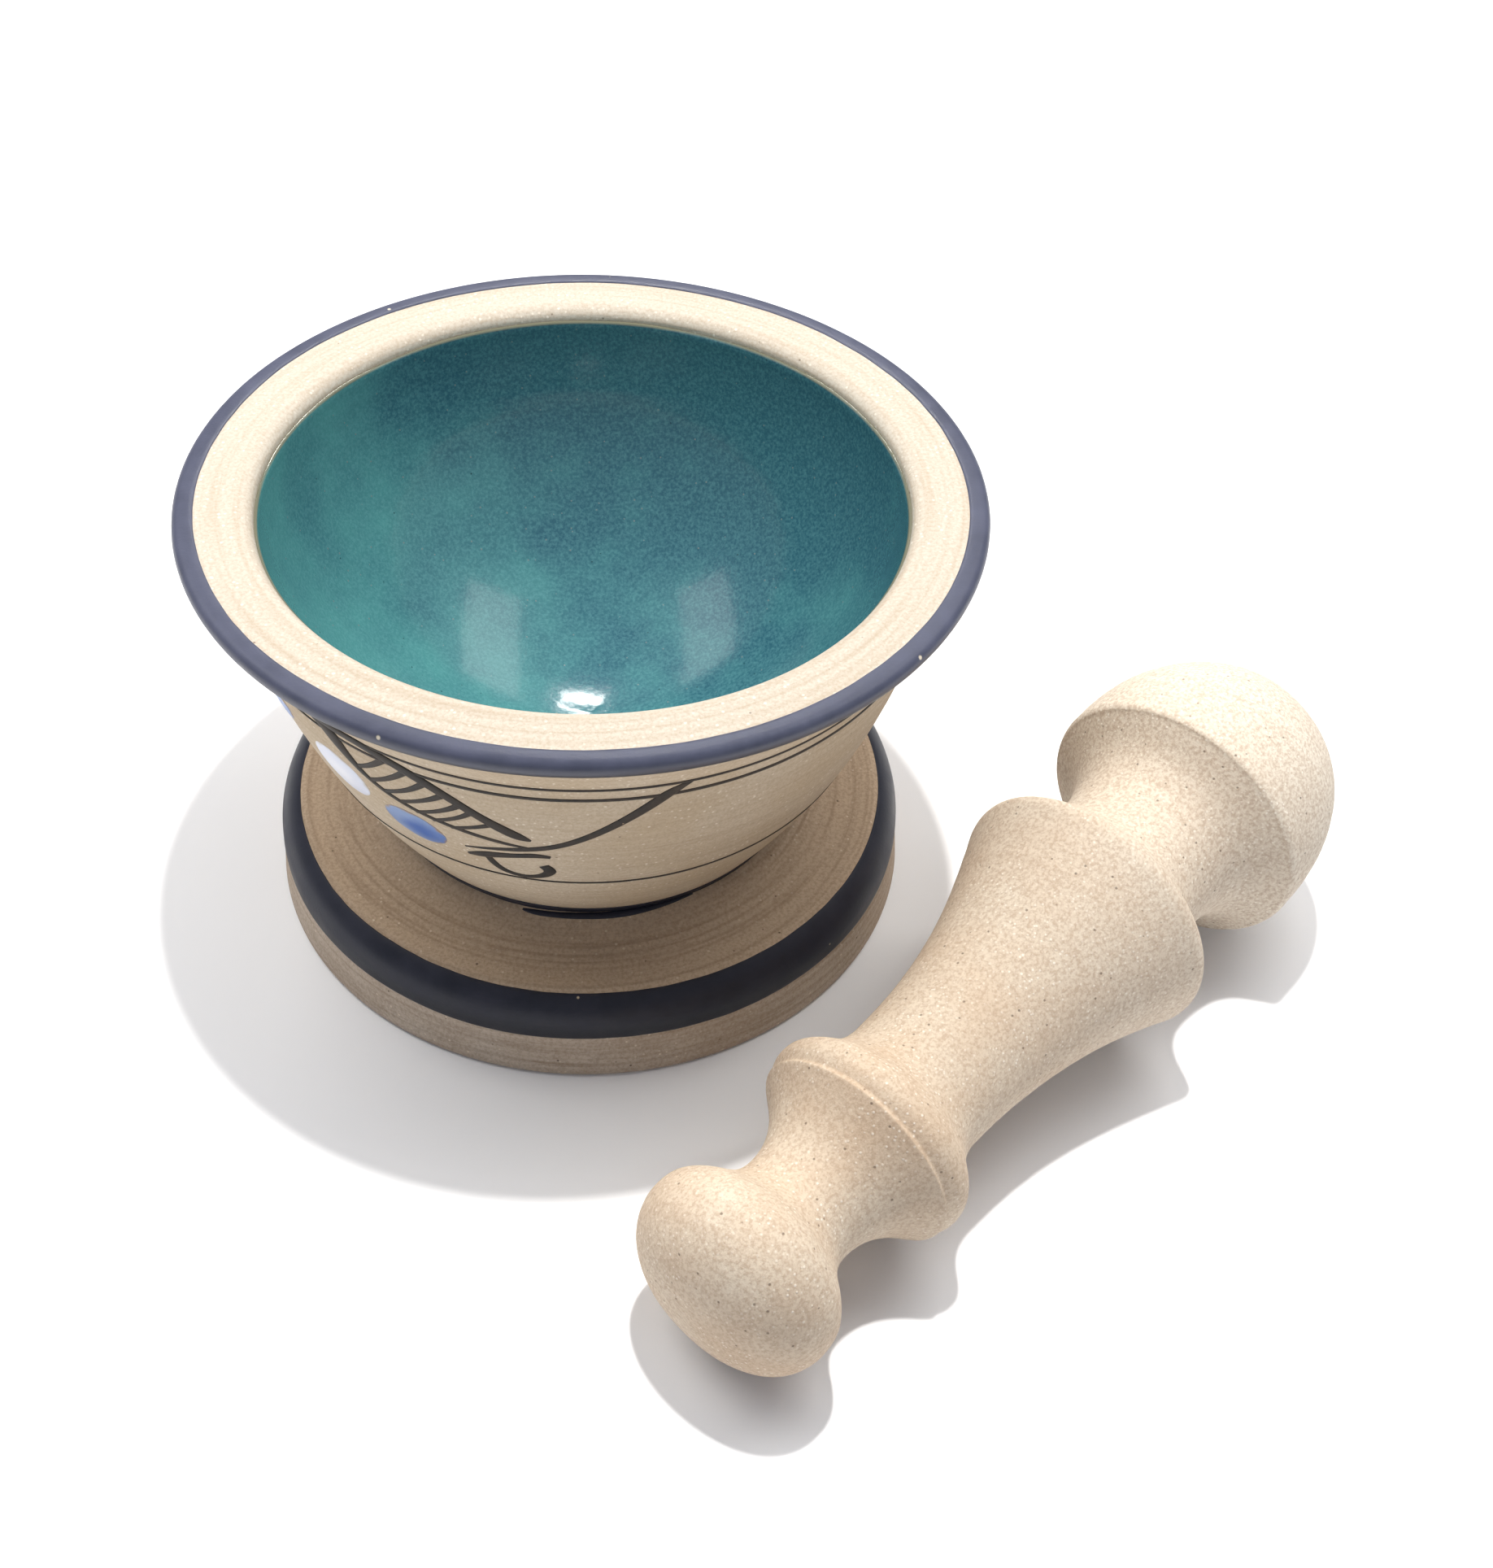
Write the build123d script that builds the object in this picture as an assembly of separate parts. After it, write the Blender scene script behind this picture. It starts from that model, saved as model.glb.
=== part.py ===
from build123d import *
import math
import os

# A hand-thrown stoneware mortar on a pedestal foot, with its pestle lying beside it.
# Millimetres, +Z up. The origin is the centre of the mortar's flat base.
# Every piece is a body of revolution. Sections are drawn with X as radius and Y as height.

# Mortar, overall
mortar_height = 63.0
rim_radius = 50.5

# Rim: flat unglazed top, soft inner edge, tight outer edge
rim_width = 9.5  # from the mouth to the outer edge
rim_inner_round_width = 2.4
glaze_edge_drop = 1.8  # how far below the rim the glaze stops
rim_outer_round = 0.9

# Lip: the wall flares outward just below the rim
lip_flare = 6.2
lip_height = 12.0
lip_edge_overhang = 0.75  # the edge stands out past the band's lower border

# Bowl wall and cavity
waist_radius = 29.4
waist_height = 15.8
belly_bulge = 1.8  # the wall bows out from the straight line between waist and lip
bowl_floor_height = 23.5

# Pedestal foot: a low disc with a concave top and a rounded shoulder
foot_radius = 44.7
foot_side_lean = 1.1
foot_shoulder_height = 12.3
foot_shoulder_round = 3.6
foot_top_sag = 0.9
foot_base_round = 0.7

# Glaze and blue-black slip
glaze_thickness = 0.4
slip_thickness = 0.2
rim_band_width = 2.5  # on the rim's flat top
rim_band_drop = 2.3  # down the outside of the lip
foot_band_top_width = 3.0
foot_band_drop = 5.2
waist_band_radius = 1.3

# Painted lines round the bowl: two hang below the rim, one stands above the waist
upper_line_drop = 9.0
second_line_drop = 11.4
lower_line_rise = 14.6
line_width = 0.5
line_thickness = 0.12

# Pestle: radii, and lengths measured along it from the tip of the grinding head
pestle_length = 124.3
head_radius = 13.45
head_dome = 8.6
neck_radius = 7.7
neck_station = 18.6
bead_radius = 14.4
bead_station = 31.4
waist_grip_radius = 9.9
waist_grip_station = 41.0
collar_radius = 18.1
collar_station = 76.2
throat_radius = 11.5
throat_station = 86.6
knob_radius = 18.85
knob_edge_station = 97.9
knob_edge_length = 1.3
knob_edge_round = 0.7
knob_cap = 22.3

# How far the pestle's curves run on past each of those places before they turn away
head_ease = 5.2
neck_ease_in = 5.0
neck_ease_out = 6.2
bead_ease_in = 4.4
bead_ease_out = 3.6
grip_ease_in = 6.0
grip_ease_out = 15.0
throat_ease_in = 7.6
throat_ease_out = 8.0

# Slopes where the grip flares to the collar, the collar rolls over, and the knob's underside ends
collar_flare_run, collar_flare_rise = 9.0, 3.9
collar_roll_run, collar_roll_rise = 3.6, 1.2
knob_flare_run, knob_flare_rise = 2.2, 3.7

# Where the pestle lies: the tip of its head, and the way it points
pestle_tip_x = 9.4
pestle_tip_y = -88.6
pestle_heading = 45.0

mouth_radius = rim_radius - rim_width
glaze_edge_height = mortar_height - glaze_edge_drop

# The cavity is part of a sphere centred on the axis
cavity_depth = glaze_edge_height - bowl_floor_height
cavity_radius = (mouth_radius**2 + cavity_depth**2) / (2 * cavity_depth)
cavity_centre_height = bowl_floor_height + cavity_radius


def bowed_arc(start, end, bow):
    # An arc from start to end, with its middle pushed bow to the right of the straight line
    start, end = Vector(*start), Vector(*end)
    along = (end - start).normalized()
    middle = (start + end) * 0.5 + Vector(along.Y, -along.X) * bow
    return ThreePointArc(start, middle, end)


def bowl_section():
    lip_root = (rim_radius - lip_flare, mortar_height - lip_height)
    band_border = (rim_radius - lip_edge_overhang, mortar_height - rim_band_drop)
    rim_edge = (rim_radius, mortar_height - rim_outer_round)
    rim_top_outer = (rim_radius - rim_outer_round, mortar_height)
    rim_top_inner = (mouth_radius + rim_inner_round_width, mortar_height)
    mouth = (mouth_radius, glaze_edge_height)
    cavity_floor = (0, bowl_floor_height)

    base = Line((0, waist_height), (waist_radius, waist_height))
    wall = bowed_arc((waist_radius, waist_height), lip_root, belly_bulge)
    lip = TangentArc(lip_root, band_border, tangent=wall % 1)
    under_edge = TangentArc(rim_edge, band_border, tangent=(0, -1))
    outer_edge = TangentArc(rim_edge, rim_top_outer, tangent=(0, 1))
    top = Line(rim_top_outer, rim_top_inner)
    inner_edge = TangentArc(rim_top_inner, mouth, tangent=(-1, 0))
    cavity = RadiusArc(mouth, cavity_floor, cavity_radius)
    axis = Line(cavity_floor, (0, waist_height))
    return make_face([base, wall, lip, under_edge, outer_edge, top, inner_edge, cavity, axis])


def foot_section():
    shoulder = (foot_radius - foot_side_lean, foot_shoulder_height)
    waist = (waist_radius, waist_height)
    outline = [
        Line((0, 0), (foot_radius, 0)),
        Line((foot_radius, 0), shoulder),
        bowed_arc(shoulder, waist, -foot_top_sag),
        Line(waist, (0, waist_height)),
        Line((0, waist_height), (0, 0)),
    ]
    section = make_face(outline)
    base_corner = section.vertices().sort_by_distance((foot_radius, 0))[0]
    section = fillet(base_corner, foot_base_round)
    shoulder_corner = section.vertices().sort_by_distance(shoulder)[0]
    return fillet(shoulder_corner, foot_shoulder_round)


def cavity_disc(inset=0):
    return Pos(0, cavity_centre_height) * Circle(cavity_radius - inset)


def window(low_radius, low_height, high_radius, high_height):
    # A rectangle that picks out one stretch of a section
    middle = ((low_radius + high_radius) / 2, (low_height + high_height) / 2)
    return Pos(*middle) * Rectangle(high_radius - low_radius, high_height - low_height)


def coat_section(section, thickness, stretch):
    # A thin layer lying on the outside of a section, along one stretch of it
    return (offset(section, thickness) - section) & stretch


def line_section(section, height):
    half = line_width / 2
    stretch = window(waist_radius, height - half, 2 * rim_radius, height + half)
    return coat_section(section, line_thickness, stretch - cavity_disc())


def glaze_section():
    # The lining lies on the cavity's wall, from its floor up to the mouth
    lining = cavity_disc() - cavity_disc(inset=glaze_thickness)
    return lining & window(0, 0, rim_radius, glaze_edge_height)


def turned(section):
    # Spins a section round the mortar's axis and stands it up along Z
    return Rot(90, 0, 0) * revolve(section, Axis.Y)


def quarter_ellipse(pole, shoulder):
    # A domed end, square to the axis at its pole and parallel to it at its shoulder
    reach = 0.5523  # the handle length that turns a cubic curve into a quarter of an ellipse
    side = shoulder[0] + (pole[0] - shoulder[0]) * reach
    return Bezier(pole, (pole[0], shoulder[1] * reach), (side, shoulder[1]), shoulder)


def pestle_section():
    # X runs along the pestle from the tip of the head, Y is the radius
    tip = (0, 0)
    head = (head_dome, head_radius)
    neck = (neck_station, neck_radius)
    bead = (bead_station, bead_radius)
    waist_grip = (waist_grip_station, waist_grip_radius)
    collar = (collar_station, collar_radius)
    throat = (throat_station, throat_radius)
    knob_start = (pestle_length - knob_cap, knob_radius)
    knob_end = (pestle_length, 0)
    knob_under = (knob_edge_station, knob_radius - knob_edge_round)
    knob_side = (knob_edge_station + knob_edge_length, knob_radius)

    dome = quarter_ellipse(tip, head)
    shoulder = Bezier(
        head, (head[0] + head_ease, head_radius), (neck[0] - neck_ease_in, neck_radius), neck
    )
    bell = Bezier(
        neck, (neck[0] + neck_ease_out, neck_radius), (bead[0] - bead_ease_in, bead_radius), bead
    )
    under_bead = Bezier(
        bead,
        (bead[0] + bead_ease_out, bead_radius),
        (waist_grip[0] - grip_ease_in, waist_grip_radius),
        waist_grip,
    )
    grip = Bezier(
        waist_grip,
        (waist_grip[0] + grip_ease_out, waist_grip_radius),
        (collar[0] - collar_flare_run, collar[1] - collar_flare_rise),
        collar,
    )
    under_collar = Bezier(
        collar,
        (collar[0] + collar_roll_run, collar[1] + collar_roll_rise),
        (throat[0] - throat_ease_in, throat_radius),
        throat,
    )
    under_knob = Bezier(
        throat,
        (throat[0] + throat_ease_out, throat_radius),
        (knob_under[0] - knob_flare_run, knob_under[1] - knob_flare_rise),
        knob_under,
    )
    knob_edge = TangentArc(knob_side, knob_under, tangent=(-1, 0))
    side = Line(knob_start, knob_side)
    cap = quarter_ellipse(knob_end, knob_start)
    axis = Line(knob_end, tip)
    head_curves = [dome, shoulder, bell, under_bead]
    handle_curves = [grip, under_collar, under_knob]
    return make_face(head_curves + handle_curves + [knob_edge, side, cap, axis])


def lying_pestle():
    # The pestle rests on its head and its collar, so it tilts by the difference of their radii
    pestle = revolve(pestle_section(), Axis.X)
    tilt = math.degrees(math.asin((collar_radius - head_radius) / (collar_station - head_dome)))
    pestle = Rot(0, 0, pestle_heading) * Rot(0, -tilt, 0) * pestle
    lift = -pestle.bounding_box().min.Z
    return Pos(pestle_tip_x, pestle_tip_y, lift) * pestle


bowl = bowl_section()
foot = foot_section()
far = 2 * rim_radius  # past everything on the mortar

rim_band_stretch = window(
    rim_radius - rim_band_width, mortar_height - rim_band_drop, far, mortar_height + rim_width
)
foot_shoulder_radius = foot_radius - foot_side_lean
foot_band_stretch = window(
    foot_shoulder_radius - foot_band_top_width,
    foot_shoulder_height - foot_band_drop,
    far,
    mortar_height,
)
waist_bead = Pos(waist_radius, waist_height) * Circle(waist_band_radius)

pieces = {
    "bowl": turned(bowl),
    "pedestal_foot": turned(foot),
    "glaze_lining": turned(glaze_section()),
    "rim_band": turned(coat_section(bowl, slip_thickness, rim_band_stretch)),
    "foot_band": turned(coat_section(foot, slip_thickness, foot_band_stretch)),
    "waist_band": turned(waist_bead - bowl - foot),
    "upper_line": turned(line_section(bowl, mortar_height - upper_line_drop)),
    "second_line": turned(line_section(bowl, mortar_height - second_line_drop)),
    "lower_line": turned(line_section(bowl, waist_height + lower_line_rise)),
    "pestle": lying_pestle(),
}

os.makedirs("parts", exist_ok=True)
for name, piece in pieces.items():
    export_step(piece, f"parts/{name}.step")
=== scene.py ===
import bisect
import math

import bmesh
import bpy
from mathutils import Euler, Matrix, Vector, noise
from mathutils.geometry import interpolate_bezier


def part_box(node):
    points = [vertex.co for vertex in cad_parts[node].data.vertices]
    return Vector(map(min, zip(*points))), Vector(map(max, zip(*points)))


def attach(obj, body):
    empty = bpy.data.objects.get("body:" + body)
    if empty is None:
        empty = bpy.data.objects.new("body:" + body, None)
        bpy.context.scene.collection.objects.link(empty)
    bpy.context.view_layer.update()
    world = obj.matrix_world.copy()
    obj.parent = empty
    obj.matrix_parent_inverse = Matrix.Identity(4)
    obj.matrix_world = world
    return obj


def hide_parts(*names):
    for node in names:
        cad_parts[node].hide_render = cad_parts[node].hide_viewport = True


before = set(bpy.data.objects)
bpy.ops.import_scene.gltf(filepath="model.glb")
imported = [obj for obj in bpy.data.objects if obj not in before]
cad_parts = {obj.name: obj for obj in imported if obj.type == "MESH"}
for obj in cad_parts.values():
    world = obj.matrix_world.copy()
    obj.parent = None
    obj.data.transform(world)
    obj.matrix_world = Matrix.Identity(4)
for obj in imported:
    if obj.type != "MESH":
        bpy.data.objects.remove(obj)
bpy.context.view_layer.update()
mm = 0.001  # sizes below are in millimetres, and the scene is in metres
roundSteps = 288  # how finely the mortar is spun
print("frame loaded:", sorted(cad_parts))


def linear(hexColour):
    # sRGB hex to the linear colour that the shaders work in
    parts = [int(hexColour[i:i + 2], 16) / 255 for i in (1, 3, 5)]
    return [c / 12.92 if c <= 0.04045 else ((c + 0.055) / 1.055) ** 2.4 for c in parts] + [1.0]


def addNode(tree, kind, inputs=None, **settings):
    # one node, with its settings; an input is a value or another node's output
    node = tree.nodes.new(kind)
    for name, value in settings.items():
        setattr(node, name, value)
    for socket, value in (inputs or {}).items():
        if isinstance(value, bpy.types.NodeSocket):
            tree.links.new(value, node.inputs[socket])
        else:
            node.inputs[socket].default_value = value
    return node


def newMaterial(name):
    # an empty material, and its node tree
    material = bpy.data.materials.new(name)
    material.use_nodes = True
    material.node_tree.nodes.clear()
    return material, material.node_tree


def curve(start, handle1, handle2, end, steps):
    # points of one cubic curve, without its last point, so that stretches can be chained
    ends = [Vector((*p, 0)) for p in (start, handle1, handle2, end)]
    return [(p.x, p.y) for p in interpolate_bezier(*ends, steps + 1)][:-1]


def bowed(start, end, bow, steps):
    # a gentle arc whose middle stands bow to the right of the straight line
    start, end = Vector(start), Vector(end)
    along = (end - start).normalized()
    side = Vector((along.y, -along.x)) * bow * 4 / 3
    return curve(start, start.lerp(end, 1 / 3) + side, start.lerp(end, 2 / 3) + side, end, steps)


def straight(start, end, steps):
    # points of a straight line, again without its last point
    start, end = Vector(start), Vector(end)
    return [tuple(start.lerp(end, i / steps)) for i in range(steps)]


def rounded(start, corner, end, steps, fullness=0.5523):
    # a round corner: both handles lie on the way to the corner
    start, corner, end = Vector(start), Vector(corner), Vector(end)
    return curve(start, start.lerp(corner, fullness), end.lerp(corner, fullness), end, steps)


def turned(outline, steps):
    # spins an outline of (radius, height) in mm round the Z axis
    bm = bmesh.new()
    ring = [bm.verts.new((r * mm, 0, z * mm)) for r, z in outline]
    edges = [bm.edges.new(pair) for pair in zip(ring, ring[1:])]
    if outline[0][0] > 0:  # it doesn't start on the axis, so the outline is a closed loop
        edges.append(bm.edges.new((ring[-1], ring[0])))
    bmesh.ops.spin(bm, geom=ring + edges, cent=(0, 0, 0), axis=(0, 0, 1), dvec=(0, 0, 0),
                   angle=math.tau, steps=steps, use_merge=True, use_duplicate=False)
    bmesh.ops.remove_doubles(bm, verts=bm.verts, dist=0.002 * mm)
    bmesh.ops.recalc_face_normals(bm, faces=bm.faces)
    return bm


def finishPiece(name, bm, material, body, nodes=()):
    # makes a mesh an object of the scene, hangs it on its body and hides the CAD parts it stands in
    # for
    mesh = bpy.data.meshes.new(name)
    bm.to_mesh(mesh)
    bm.free()
    for face in mesh.polygons:
        face.use_smooth = True
    mesh.materials.append(material)
    piece = bpy.data.objects.new(name, mesh)
    bpy.context.scene.collection.objects.link(piece)
    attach(piece, body)
    if nodes:
        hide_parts(*nodes)
    print("made", name, len(mesh.polygons), "faces")


camera = {
    "location": (0.0, -199.3, 209.0),  # mm
    "pitchDown": 44.88, "pan": 6.39, "roll": 3.39,  # degrees
    "lens": 44.6,  # mm, on the default 36 mm sensor
}


def makeCamera():
    data = bpy.data.cameras.new("camera")
    data.lens = camera["lens"]
    data.clip_start = 0.01
    eye = bpy.data.objects.new("camera", data)
    turn = (Matrix.Rotation(math.radians(-camera["pan"]), 4, "Z")
            @ Matrix.Rotation(math.radians(90 - camera["pitchDown"]), 4, "X")
            @ Matrix.Rotation(math.radians(camera["roll"]), 4, "Z"))
    eye.matrix_world = Matrix.Translation(Vector(camera["location"]) * mm) @ turn
    bpy.context.scene.collection.objects.link(eye)
    bpy.context.scene.camera = eye


light = {
    "roomStrength": 0.31,
    "roomColour": "#e8effe",
    "key": {"place": (37, 51, 544), "radius": 10, "strength": 33},  # mm; casts the shadows
    "lamps": {  # place in mm, width and depth in mm, power in watts, and what it does
        "fill_left": ((-240, 110, 380), (300, 300), 1.40, "lights"),
        "fill_right": ((240, 110, 380), (300, 300), 1.1, "lights"),
        "fill_top": ((0, 150, 520), (400, 300), 0.20, "lights"),
        "glint_back": ((12, 236, 300), (66, 46), 0.30, "shows"),
        "glint_left": ((-212, 137, 300), (130, 260), 0.15, "shows"),
        "glint_right": ((168, 137, 300), (118, 260), 0.16, "shows"),
    },
    "lampColour": "#fffdf9",
    "floorSize": 3000.0,
    "floorDrop": 0.05,  # keeps the floor just clear of the base
    "floorColour": "#f8f8f9",
    "floorTooth": (0.8, 0.01),  # width and height; card's own tooth is finer and wouldn't show
}


def makeFloor():
    # matt white card: plain, with a very faint tooth
    material, tree = newMaterial("white_card")
    place = addNode(tree, "ShaderNodeTexCoord").outputs["Object"]
    width, height = light["floorTooth"]
    tooth = addNode(tree, "ShaderNodeTexNoise", {"Vector": place, "Scale": 1 / (width * mm)})
    bump = addNode(tree, "ShaderNodeBump", {"Height": tooth.outputs[0], "Distance": height * mm})
    skin = addNode(tree, "ShaderNodeBsdfPrincipled", {
        "Base Color": linear(light["floorColour"]), "Roughness": 0.9, "Normal": bump.outputs[0],
        "Specular IOR Level": 0.2})
    addNode(tree, "ShaderNodeOutputMaterial", {"Surface": skin.outputs[0]})
    bm = bmesh.new()
    bmesh.ops.create_grid(bm, x_segments=1, y_segments=1, size=light["floorSize"] * mm / 2)
    bmesh.ops.translate(bm, verts=bm.verts, vec=(0, 0, -light["floorDrop"] * mm))
    mesh = bpy.data.meshes.new("floor")
    bm.to_mesh(mesh)
    bm.free()
    mesh.materials.append(material)
    floor = bpy.data.objects.new("floor", mesh)
    bpy.context.scene.collection.objects.link(floor)


def placeLamp(name, data, place, task):
    # a lamp either lights the object or only shows as a glint in the glaze
    data.color = linear(light["lampColour"])[:3]
    lamp = bpy.data.objects.new(name, data)
    lamp.location = Vector(place) * mm
    lamp.visible_glossy = task == "shows"
    lamp.visible_diffuse = task == "lights"
    bpy.context.scene.collection.objects.link(lamp)


def makeLights():
    world = bpy.data.worlds.new("soft_room")
    bpy.context.scene.world = world
    world.use_nodes = True
    room = world.node_tree.nodes["Background"].inputs
    room["Color"].default_value = linear(light["roomColour"])
    room["Strength"].default_value = light["roomStrength"]

    # a small bulb gives the shadows their edges; it doesn't fade with distance, so the card
    # stays evenly white
    key = light["key"]
    data = bpy.data.lights.new("key", "POINT")
    data.shadow_soft_size = key["radius"] * mm
    data.energy = 1.0
    data.use_nodes = True
    fall = addNode(data.node_tree, "ShaderNodeLightFalloff", {"Strength": key["strength"]})
    glow = data.node_tree.nodes["Emission"].inputs["Strength"]
    data.node_tree.links.new(fall.outputs["Constant"], glow)
    placeLamp("key", data, key["place"], "lights")

    for name, (place, size, power, task) in light["lamps"].items():  # they face straight down
        data = bpy.data.lights.new(name, "AREA")
        data.shape = "RECTANGLE"
        data.size, data.size_y = size[0] * mm, size[1] * mm
        data.energy = power
        placeLamp(name, data, place, task)
    bpy.context.scene.view_settings.view_transform = "Standard"


makeCamera()
makeFloor()
makeLights()
print("camera, floor and light set")


def grains(tree, place, spacing, size, share):
    # round grains in a share of the cells, as 1 inside a grain and 0 outside; sizes in mm
    cells = addNode(tree, "ShaderNodeTexVoronoi", {"Vector": place, "Scale": 1 / spacing})
    inside = addNode(tree, "ShaderNodeMapRange", {
        "Value": cells.outputs["Distance"], "From Min": 0.5 * size / spacing,
        "From Max": 0.2 * size / spacing}, interpolation_type="SMOOTHSTEP")
    pick = addNode(tree, "ShaderNodeSeparateColor", {0: cells.outputs["Color"]})
    chosen = addNode(tree, "ShaderNodeMath", {0: pick.outputs[0], 1: share}, operation="LESS_THAN")
    return addNode(tree, "ShaderNodeMath", {
        0: inside.outputs[0], 1: chosen.outputs[0]}, operation="MULTIPLY").outputs[0]


def turnedStoneware(name, look, place=(0, 0, 0), turn=(0, 0, 0)):
    # Buff stoneware with grog, thrown, turned and left unglazed: dry and sandy to the eye, with pale
    # and dark grains in loose patches, soft clouds of warmer colour and rings from the wheel. Its
    # upper part
    # takes another tone that is painted light: paler and less saturated where the rim and the knob
    # are lit, warmer on the foot's top. The sand between the grains is finer than 0.2 mm in real
    # clay and is drawn at sandWidth so that it shows.
    material, tree = newMaterial(name)
    own = addNode(tree, "ShaderNodeTexCoord").outputs["Object"]
    inMm = addNode(tree, "ShaderNodeMapping", {
        "Vector": own, "Location": place, "Rotation": turn, "Scale": (mm, mm, mm)},
        vector_type="TEXTURE").outputs[0]
    flat = addNode(tree, "ShaderNodeVectorMath", {0: inMm, 1: (1, 1, 0)}, operation="MULTIPLY")
    radius = addNode(tree, "ShaderNodeVectorMath", {0: flat.outputs[0]}, operation="LENGTH")
    axes = addNode(tree, "ShaderNodeSeparateXYZ", {0: inMm})
    section = addNode(tree, "ShaderNodeCombineXYZ", {
        0: radius.outputs["Value"], 1: axes.outputs["Z"]})
    ringPlace = addNode(tree, "ShaderNodeVectorMath", {  # rings that wander a little on their way
        0: inMm, 1: (0.03, 0.03, 0.0), 2: section.outputs[0]}, operation="MULTIPLY_ADD")

    rings = addNode(tree, "ShaderNodeTexNoise", {
        "Vector": ringPlace.outputs[0], "Scale": 1 / look["ringWidth"], "Detail": 3.0})
    clouds = addNode(tree, "ShaderNodeTexNoise", {
        "Vector": inMm, "Scale": 1 / look["cloudWidth"], "Detail": 3.0, "Roughness": 0.55})
    rougher = addNode(tree, "ShaderNodeTexNoise", {
        "Vector": inMm, "Scale": 1.7 / look["cloudWidth"], "Detail": 2.0})
    sand = addNode(tree, "ShaderNodeTexNoise", {
        "Vector": inMm, "Scale": 1 / look["sandWidth"], "Detail": 3.0, "Roughness": 0.7})
    pale = grains(tree, inMm, look["paleSpacing"], look["paleSize"], look["paleShare"])
    dark = grains(tree, inMm, look["darkSpacing"], look["darkSize"], look["darkShare"])

    cloudMix = addNode(tree, "ShaderNodeMapRange", {
        "Value": clouds.outputs[0], "From Min": 0.35, "From Max": 0.65})
    tone = addNode(tree, "ShaderNodeMix", {
        "Factor": cloudMix.outputs[0], 6: linear(look["body"]), 7: linear(look["warm"])},
        data_type="RGBA")
    # painted light: the upper part takes another tone, paler where the rim and the knob are lit
    paintedLightMix = addNode(tree, "ShaderNodeMapRange", {
        "Value": axes.outputs["Z"], "From Min": look["paintedLightFrom"], "From Max": look["paintedLightTo"]})
    paintedLightColour = addNode(tree, "ShaderNodeMix", {
        "Factor": paintedLightMix.outputs[0], 6: tone.outputs[2], 7: linear(look["paintedLightTone"])},
        data_type="RGBA")
    ringMix = addNode(tree, "ShaderNodeMapRange", {
        "Value": rings.outputs[0], "From Min": 0.45, "From Max": 0.75, "To Max": look["ringTint"]})
    ringed = addNode(tree, "ShaderNodeMix", {
        "Factor": ringMix.outputs[0], 6: paintedLightColour.outputs[2], 7: linear(look["shadowTone"])},
        data_type="RGBA")
    sandMix = addNode(tree, "ShaderNodeMapRange", {
        "Value": sand.outputs[0], "From Min": 0.42, "From Max": 0.62, "To Max": look["sandTint"]})
    sanded = addNode(tree, "ShaderNodeMix", {
        "Factor": sandMix.outputs[0], 6: ringed.outputs[2], 7: linear(look["shadowTone"])},
        data_type="RGBA")
    grogThere = addNode(tree, "ShaderNodeMapRange", {
        "Value": rougher.outputs[0], "From Min": 0.38, "From Max": 0.6,
        "To Min": look["paleTint"] * 0.25, "To Max": look["paleTint"]})
    paleMix = addNode(tree, "ShaderNodeMath", {
        0: pale, 1: grogThere.outputs[0]}, operation="MULTIPLY")
    specked = addNode(tree, "ShaderNodeMix", {
        "Factor": paleMix.outputs[0], 6: sanded.outputs[2], 7: linear(look["paleGrog"])},
        data_type="RGBA")
    darkMix = addNode(tree, "ShaderNodeMath", {0: dark, 1: look["darkTint"]}, operation="MULTIPLY")
    colour = addNode(tree, "ShaderNodeMix", {
        "Factor": darkMix.outputs[0], 6: specked.outputs[2], 7: linear(look["darkGrog"])},
        data_type="RGBA")

    sandLift = addNode(tree, "ShaderNodeMath", {
        0: sand.outputs[0], 1: look["sandRelief"]}, operation="MULTIPLY")
    ringLift = addNode(tree, "ShaderNodeMath", {
        0: rings.outputs[0], 1: look["ringRelief"], 2: sandLift.outputs[0]},
        operation="MULTIPLY_ADD")
    grogLift = addNode(tree, "ShaderNodeMath", {
        0: paleMix.outputs[0], 1: look["grogRelief"], 2: ringLift.outputs[0]},
        operation="MULTIPLY_ADD")
    height = addNode(tree, "ShaderNodeMath", {
        0: dark, 1: -look["grogRelief"], 2: grogLift.outputs[0]}, operation="MULTIPLY_ADD")
    bump = addNode(tree, "ShaderNodeBump", {"Height": height.outputs[0], "Distance": mm})
    skin = addNode(tree, "ShaderNodeBsdfPrincipled", {
        "Base Color": colour.outputs[2], "Roughness": 0.88, "Specular IOR Level": 0.3,
        "Normal": bump.outputs[0]})
    addNode(tree, "ShaderNodeOutputMaterial", {"Surface": skin.outputs[0]})
    return material


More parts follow.
